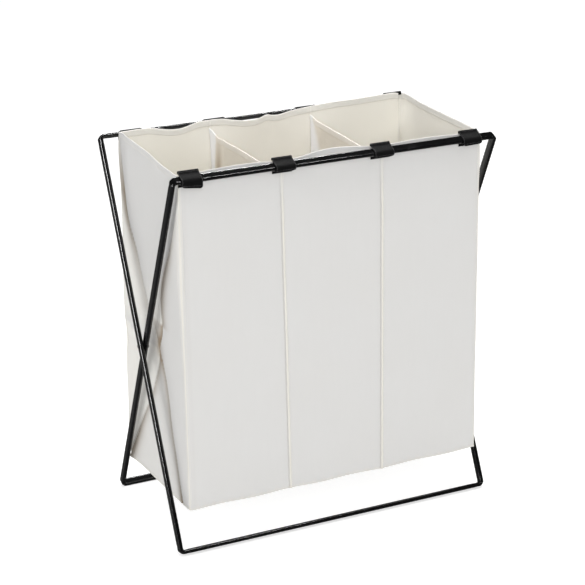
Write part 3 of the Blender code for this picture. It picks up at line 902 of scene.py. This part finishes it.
steps = np.concatenate([np.linspace(0, 0.86, 44)[:-1], np.linspace(0.86, 1, 18)])
for name, node, tops in (
        ("divider_one", "divider_left", [(-155, 700), (-120, 693), (-35, 690), (60, 689), (115, 689.5),
                                         (132, 693), (140, 702), (150, 708)]),
        ("divider_two", "divider_right", [(-155, 702), (-120, 698), (-54, 696), (60, 696), (115, 697),
                                          (132, 699), (141, 704), (150, 707)])):
    sheet_mid = []
    for share in steps:
        top = float(along(tops, -0.1545 + 0.303 * share))
        line = []
        for z in top - DIVIDER_ROWS * (top - DIVIDER_FOOT) / DIVIDER_ROWS[-1]:
            depth = back_wall(z) - 0.0016 - DIVIDER_FRONT
            y, fit = DIVIDER_FRONT + depth * share, depth / 0.305
            x = float(along([(a * fit + (0.155 * fit + DIVIDER_FRONT) * 1000, b)
                             for a, b in divider_line(name, z)], y))
            belly = 0.0035 * math.sin(math.pi * share) * math.sin(math.pi * min(1, (z - 0.088) / 0.6))
            line.append((x + belly, y, z))
        sheet_mid.append(line)
    sheet_mid = np.array(sheet_mid)
    uneven = drift(sheet_mid[..., 1], sheet_mid[..., 2], 31 + len(name), 0.15)
    sheet_mid[..., 0] += 0.0007 * uneven * np.sin(math.pi * steps)[:, None]
    face = np.cross(np.gradient(sheet_mid, axis=1), np.gradient(sheet_mid, axis=0))
    face /= np.linalg.norm(face, axis=2, keepdims=True)
    loop, drop = closed_band(sheet_mid, face, DIVIDER_ROWS, DIVIDER_HEM, 0.0010)
    columns, ring = loop.shape[:2]
    lay = steps * 0.31
    faces = loft_faces(columns, ring, closed=False).tolist()
    uv = loft_uv(lay, drop).reshape(-1, 2).tolist()
    half = len(DIVIDER_ROWS)
    for column in (0, columns - 1):             # close the two sewn ends
        for r in range(half - 1):
            a, b = column * ring + r, column * ring + ring - 1 - r
            faces.append([a, a + 1, b - 1, b])
            uv += [[lay[column], drop[r]]] * 4
        a = column * ring + half - 1
        faces.append([a, a + 1, a + 2])
        uv += [[lay[column], drop[half - 1]]] * 3
    y, depth = sheet_mid[..., 1], np.clip((0.700 - sheet_mid[..., 2]) / 0.065, 0, 1)
    end = sheet_mid[-1:, :, 1]
    if name == "divider_one":                   # painted highlight: a white strip where the sheet turns to the light, then the painted shade of the turn
        edge = fade(y, end - 0.0165 + 0.0075 * depth, end - 0.0145 + 0.0075 * depth)
        turn = 0.75 * depth * hump(y, end - 0.0205 + 0.0045 * depth, 0.0060)
    else:
        edge = fade(y, end - 0.0120 - 0.020 * depth, end - 0.0050 - 0.008 * depth)
        turn = np.zeros_like(y)
    # a little painted highlight on the hem as well
    edge = np.maximum(edge, 0.18 * (DIVIDER_ROWS < DIVIDER_HEM))
    # the rolled top of each divider is darkened by 0.45 as painted shade
    piece = add_piece(name, loop.reshape(-1, 3), faces, shaded_divider_cloth, uv=uv, marks=(
        ("inside", np.full(columns * ring, 0.85)),
        ("fold_shade", np.concatenate([turn[:, ::-1], turn[:, :1] + 0.45, turn], 1)),
        ("painted_highlight", np.concatenate([edge[:, ::-1], edge[:, :1], edge], 1))))
    bag_soft.append(piece)
    bag_nodes[name] = (node,)


# ---- Bag bottom --------------------------------------------------------------------------
# One piece of cloth closes all three compartments. It is sewn to the walls all round and
# hangs slightly slack between the dividers.


def wall_foot(word, axis, at):
    """Place of the shell's wall 3 mm above its lower edge, read along the other axis."""
    foot = np.array([mid[n, -3, :2] for n, station in enumerate(stations) if word in station[0]])
    foot = foot[np.argsort(foot[:, 1 - axis])]
    return np.interp(at, foot[:, 1 - axis], foot[:, axis])


def plate_faces(long, wide):
    """Faces of a plate whose points are two grids, one after the other, with its rim."""
    i, k = np.meshgrid(np.arange(long - 1), np.arange(wide - 1), indexing="ij")
    quads = np.stack([i * wide + k, (i + 1) * wide + k, (i + 1) * wide + k + 1, i * wide + k + 1], -1)
    quads = quads.reshape(-1, 4)
    many = long * wide
    rim = ([a * wide for a in range(long)] + [(long - 1) * wide + b for b in range(1, wide)]
           + [a * wide + wide - 1 for a in range(long - 2, -1, -1)] + list(range(wide - 2, 0, -1)))
    sides = [[b, a, a + many, b + many] for a, b in zip(rim, rim[1:] + rim[:1])]
    return np.concatenate([quads, quads[:, ::-1] + many, sides])


inset = CLOTH / 2 + 0.0002                      # the edge of the bottom meets the inner faces
shares = np.linspace(0, 1, 121)
grid_x, grid_s = np.meshgrid((shares - 0.5) * 2 * (HALF_X - CORNER_R), np.linspace(0, 1, 46),
                             indexing="ij")
front, back = wall_foot("front", 1, grid_x) + inset, wall_foot("back", 1, grid_x) - inset
grid_y = front + (back - front) * grid_s
left, right = wall_foot("left", 0, grid_y) + inset, wall_foot("right", 0, grid_y) - inset
grid_x = left + (right - left) * shares[:, None]
slack = np.sin(math.pi * grid_s) ** 0.7
bay = np.abs(np.sin(math.pi * np.clip((grid_x + 0.2975) / 0.595 * 3, 0, 3))) ** 0.7
grid_z = foot_height(grid_x, grid_s) + 0.0024 - 0.0035 * slack * bay
grid_z += 0.0005 * drift(grid_x, grid_y, 3, 0.11)
points = np.concatenate([np.stack([grid_x, grid_y, grid_z + lift], -1).reshape(-1, 3)
                         for lift in (CLOTH / 2, -CLOTH / 2)])
faces = plate_faces(*grid_x.shape)
plain = np.zeros(len(points))
piece = add_piece("bag_bottom", points, faces, cloth, uv=points[faces][..., :2],
                  marks=(("inside", np.repeat([1.0, 0.0], grid_x.size)), ("fold_shade", plain),
                         ("painted_highlight", plain)))
bag_soft.append(piece)
bag_nodes["bag_bottom"] = ("bag_bottom_left", "bag_bottom_middle", "bag_bottom_right")


# ---- Seam stitching ----------------------------------------------------------------------
# Cream polyester thread in short lockstitches: round the hem inside and out, down both
# edges of each corner, beside each tuck and along the bottom edge.

stitch_tree, gin, gout, stitch_named = geometry_tree(
    "Lockstitch", [("Pitch", "NodeSocketFloat"), ("Length", "NodeSocketFloat"),
                   ("Thickness", "NodeSocketFloat"), ("Thread", "NodeSocketMaterial")])
resample = stitch_tree.nodes.new("GeometryNodeResampleCurve")
resample.mode = "LENGTH"
to_points = stitch_tree.nodes.new("GeometryNodeInstanceOnPoints")
bead = stitch_tree.nodes.new("GeometryNodeMeshUVSphere")
for title, value in (("Segments", 6), ("Rings", 4), ("Radius", 0.5)):
    bead.inputs[title].default_value = value
tangent = stitch_tree.nodes.new("GeometryNodeInputTangent")
align = stitch_tree.nodes.new("FunctionNodeAlignEulerToVector")
align.axis = "Z"
size = stitch_tree.nodes.new("ShaderNodeCombineXYZ")
wire(stitch_tree, (gin.outputs["Geometry"], resample.inputs["Curve"]),
     (gin.outputs["Pitch"], resample.inputs["Length"]),
     (resample.outputs["Curve"], to_points.inputs["Points"]),
     (bead.outputs["Mesh"], to_points.inputs["Instance"]),
     (tangent.outputs["Tangent"], align.inputs["Vector"]),
     (align.outputs["Rotation"], to_points.inputs["Rotation"]),
     (gin.outputs["Thickness"], size.inputs["X"]), (gin.outputs["Thickness"], size.inputs["Y"]),
     (gin.outputs["Length"], size.inputs["Z"]), (size.outputs["Vector"], to_points.inputs["Scale"]))
end_tree(stitch_tree, to_points.outputs["Instances"], gin.outputs["Thread"], gout)


def stitch_runs(name, runs, thread, pitch=0.0036, length=0.0027, thickness=0.00055):
    """All runs (lists of points) sewn as one mesh."""
    curve = bpy.data.curves.new(name, "CURVE")
    curve.dimensions = "3D"
    for run in runs:
        spline = curve.splines.new("POLY")
        spline.points.add(len(run) - 1)
        spline.points.foreach_set("co", np.c_[np.array(run), np.ones(len(run))].ravel())
    obj = new_object(name, curve)
    made = bake(obj, stitch_tree, stitch_named,
                {"Pitch": pitch, "Length": length, "Thickness": thickness, "Thread": thread}, name)
    made.data.shade_smooth()
    return made


def thread_material(name, colour, shade, roughness):
    """Twisted thread: fine slanting ridges and a slight change of shade along it."""
    made, tree, base = new_material(name, roughness, Sheen_Weight=0.2)
    where = tree.nodes.new("ShaderNodeTexCoord")
    twist = tree.nodes.new("ShaderNodeTexWave")
    twist.inputs["Scale"].default_value = 900.0
    tree.links.new(where.outputs["Object"], twist.inputs["Vector"])
    tree.links.new(tint(tree, noise(tree, where.outputs["Object"], 60.0, 2.0), colour, shade),
                   base.inputs["Base Color"])
    bump(tree, base, twist.outputs["Fac"], 0.4, 0.0001)
    return made


cream_thread = thread_material("cream thread", (0.80, 0.78, 0.72), (0.70, 0.66, 0.58), 0.6)

outer = mid + normal * (CLOTH / 2 + 0.00025)
inner = mid - normal * (CLOTH / 2 + 0.0014)
hem_row, low_row = int(np.argmin(np.abs(drops - 0.0095))), rows - 3
runs = [np.concatenate([skin[:, row], skin[:1, row]])
        for skin, row in ((outer, hem_row), (inner, hem_row), (outer, low_row))]
for number, (wall, _, angle) in enumerate(stations):
    if " " in wall and abs(abs(math.cos(angle)) - abs(math.sin(angle))) < 0.05:
        for side in (-3, 3):                    # both edges of the fin in the middle of a corner
            runs.append(outer[(number + side) % len(stations), 8:-4])
for seams, wall in ((front_seams, "front"), (back_seams, "back")):
    numbers = np.array([n for n, station in enumerate(stations) if station[0] == wall])
    spots = np.array([stations[n][1] for n in numbers])
    order = np.argsort(spots)
    for seam in seams:
        run = []
        for r in range(10, rows - 4):
            x = float(along(seam, mid[numbers[0], r, 2])) + 0.0046
            run.append([np.interp(x, spots[order], outer[numbers[order], r, axis])
                        for axis in range(3)])
        runs.append(run)
piece = stitch_runs("bag_stitching", runs, cream_thread)
bag_soft.append(piece)
bag_nodes["bag_stitching"] = ()

for piece in bag_soft:
    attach(piece, "bag")
    if bag_nodes[piece.name]:
        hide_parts(*bag_nodes[piece.name])


# ---- Hanging straps ----------------------------------------------------------------------
# Eight pieces of black hook-and-loop tape, 39 mm wide. Each is sewn to the rim, goes over
# its rail and down the outside. A short tab sewn to the panel meets it under the rail.

STRAP_W, TAPE = 0.0390, 0.0015
FRONT_X = (-0.2815, -0.1035, 0.0915, 0.2735)
BACK_X = (-0.2645, -0.0955, 0.0975, 0.2845)

tape_black, tree, base = new_material("black hook-and-loop tape", 0.80, Sheen_Weight=0.06,
                                      Sheen_Roughness=0.4, Specular_IOR_Level=0.15)
weave = weave_node(tree, 900.0, 260.0)
fuzz = noise(tree, weave.inputs["UV"].links[0].from_socket, 1500.0, 3.0)
pile = spread(tree, fuzz, 0.35, 0.75, 0.0, 1.0)
colour = tint(tree, pile, (0.0016, 0.0016, 0.0018), (0.0050, 0.0049, 0.0052))
pale = spread(tree, weave.outputs["Unevenness"], 0.5, 0.8, 0.0, 0.35)
colour = tint(tree, pale, colour, (0.012, 0.012, 0.013))
tree.links.new(colour, base.inputs["Base Color"])
height = calc(tree, "MULTIPLY_ADD", weave.outputs["Height"], 0.7, fuzz)
bump(tree, base, height, 0.5, 0.0004)
dark_thread = thread_material("dark grey thread", (0.06, 0.06, 0.063), (0.14, 0.14, 0.145), 0.5)


def tape_line(points, count=44):
    """Smooth line through (out, z) points with even spacing."""
    points = np.array(points, float)
    for _ in range(3):                        # corner cutting, ends kept
        cut = [points[0]]
        for a, b in zip(points, points[1:]):
            cut += [a * 0.75 + b * 0.25, a * 0.25 + b * 0.75]
        points = np.array(cut + [points[-1]])
    s = np.concatenate([[0], np.cumsum(np.linalg.norm(np.diff(points, axis=0), axis=1))])
    even = np.linspace(0, s[-1], count)
    return np.stack([np.interp(even, s, points[:, 0]), np.interp(even, s, points[:, 1])], 1), s[-1]


def tape_piece(name, centre, side, lines, round_end):
    """Tape 39 mm wide between a left and a right edge line, thick, with rounded end corners."""
    (left, length), (right, _) = (tape_line(line) for line in lines)
    across = np.concatenate([[0, 0.012, 0.035], np.linspace(0.08, 0.92, 13), [0.965, 0.988, 1]])
    count = len(left)
    spots = np.linspace(0, length, count)
    rest = length - spots
    shrink = np.where(rest < round_end, round_end - np.sqrt(np.maximum(
        round_end**2 - (round_end - rest) ** 2, 0)), 0) if round_end else np.zeros(count)
    grid = np.zeros((len(across), count, 3))
    for c, t in enumerate(across):
        line = left * (1 - t) + right * t
        x = centre + (t - 0.5) * (STRAP_W - 2 * shrink)
        grid[c] = np.stack([x, side * line[:, 0], line[:, 1]], 1)
    along_x, along_s = np.gradient(grid, axis=0), np.gradient(grid, axis=1)
    face = np.cross(along_x, along_s)
    face /= np.linalg.norm(face, axis=2, keepdims=True) + 1e-12
    edge = np.clip(np.minimum(across, 1 - across) / 0.03, 0, 1) ** 0.5 * 0.75 + 0.25
    offset = face * TAPE / 2 * edge[:, None, None]
    points = np.concatenate([(grid + offset).reshape(-1, 3), (grid - offset).reshape(-1, 3)])
    faces = plate_faces(len(across), count)
    lay = np.stack(np.meshgrid(across * STRAP_W, spots, indexing="ij"), -1).reshape(-1, 2)
    lay = np.concatenate([lay, lay])
    return add_piece(name, points, faces, tape_black, uv=lay[faces]), grid, face


# free end of each flap: drop below the rail's middle at its left and right corner (mm), curl
flap_ends = {("front", 1): ((11.5, 15.5), 0), ("front", 2): ((9.0, 8.0), 1),
             ("front", 3): ((9.0, 8.6), 1), ("front", 4): ((10.5, 9.5), 0.3),
             ("back", 1): ((16.5, 13.0), 0.2), ("back", 2): ((9.0, 9.5), 0.6),
             ("back", 3): ((9.5, 9.0), 0.6), ("back", 4): ((9.5, 10.5), 0.3)}
OUTSIDE_Y, UNDER_Z = RAIL_Y + 0.0098, RAIL_Z - 0.0074       # tape middle beside and under a rail
for row, places, side, root_y, tab_y, tab_body in (
        ("front", FRONT_X, -1, 0.15625, 0.1586, "bag"),
        ("back", BACK_X, 1, 0.15275, 0.1551, "back_rail_frame")):
    for number, centre in enumerate(places, 1):
        drops_mm, curl = flap_ends[row, number]
        lip = [(root_y - 0.0002, RAIL_Z + 0.0086)]
        if row == "front":                      # the front lips stand up and turn over
            lip += [(root_y - 0.0001, RAIL_Z + 0.0128), (root_y + 0.0004, RAIL_Z + 0.0134),
                    (root_y + 0.0012, RAIL_Z + 0.0131)]
        else:                                   # the last strap at the back is bunched up
            lip += [(root_y + 0.0010, RAIL_Z + (0.0168 if number == 4 else 0.0092))]
        over = [(RAIL_Y - 0.0058, RAIL_Z + 0.0085), (RAIL_Y + 0.0045, RAIL_Z + 0.0042),
                (RAIL_Y + 0.0092, RAIL_Z + 0.0016), (OUTSIDE_Y, RAIL_Z - 0.0035)]
        lines = [lip + over + [(OUTSIDE_Y - 0.0010 * curl, RAIL_Z - 0.0006 * d - 0.0020),
                               (OUTSIDE_Y - 0.0016 * curl, RAIL_Z - d / 1000)] for d in drops_mm]
        body = f"{row}_strap_{number}"
        flap, grid, face = tape_piece(f"{body}_tape", centre, side, lines, 0.0045)
        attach(flap, body)
        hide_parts(f"{body}_flap")
        outward = 1 if face[8, 30, 1] * side > 0 else -1
        outside = grid + face * (TAPE / 2 + 0.00005) * outward
        # real stitching; the run across the top of the lip is lighter grey thread and also stands in for the
        # light line along the lip's fold, a painted highlight
        runs = [outside[2, 4:-4], outside[-3, 4:-4], outside[2:-2, -5], outside[2:-2, 8]]
        sewn = stitch_runs(f"{body}_stitching", runs, dark_thread, 0.0030, 0.0022, 0.00045)
        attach(sewn, body)

        line = [(tab_y, UNDER_Z - 0.0078), (tab_y, UNDER_Z - 0.0020), (tab_y + 0.0012, UNDER_Z - 0.0003),
                (tab_y + 0.0040, UNDER_Z), (RAIL_Y + 0.0040, UNDER_Z), (RAIL_Y + 0.0076, UNDER_Z)]
        tab, _, _ = tape_piece(f"{body}_tab_tape", centre, side, (line, line), 0)
        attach(tab, tab_body)
        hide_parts(f"{body}_tab")


# ---- Own meshes --------------------------------------------------------------------------
# The real bag hangs from the front rail and flattens against it as the frame closes. Here
# every cloth piece and its stitching is given a mesh of its own.

for piece in bag_soft:
    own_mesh(piece)
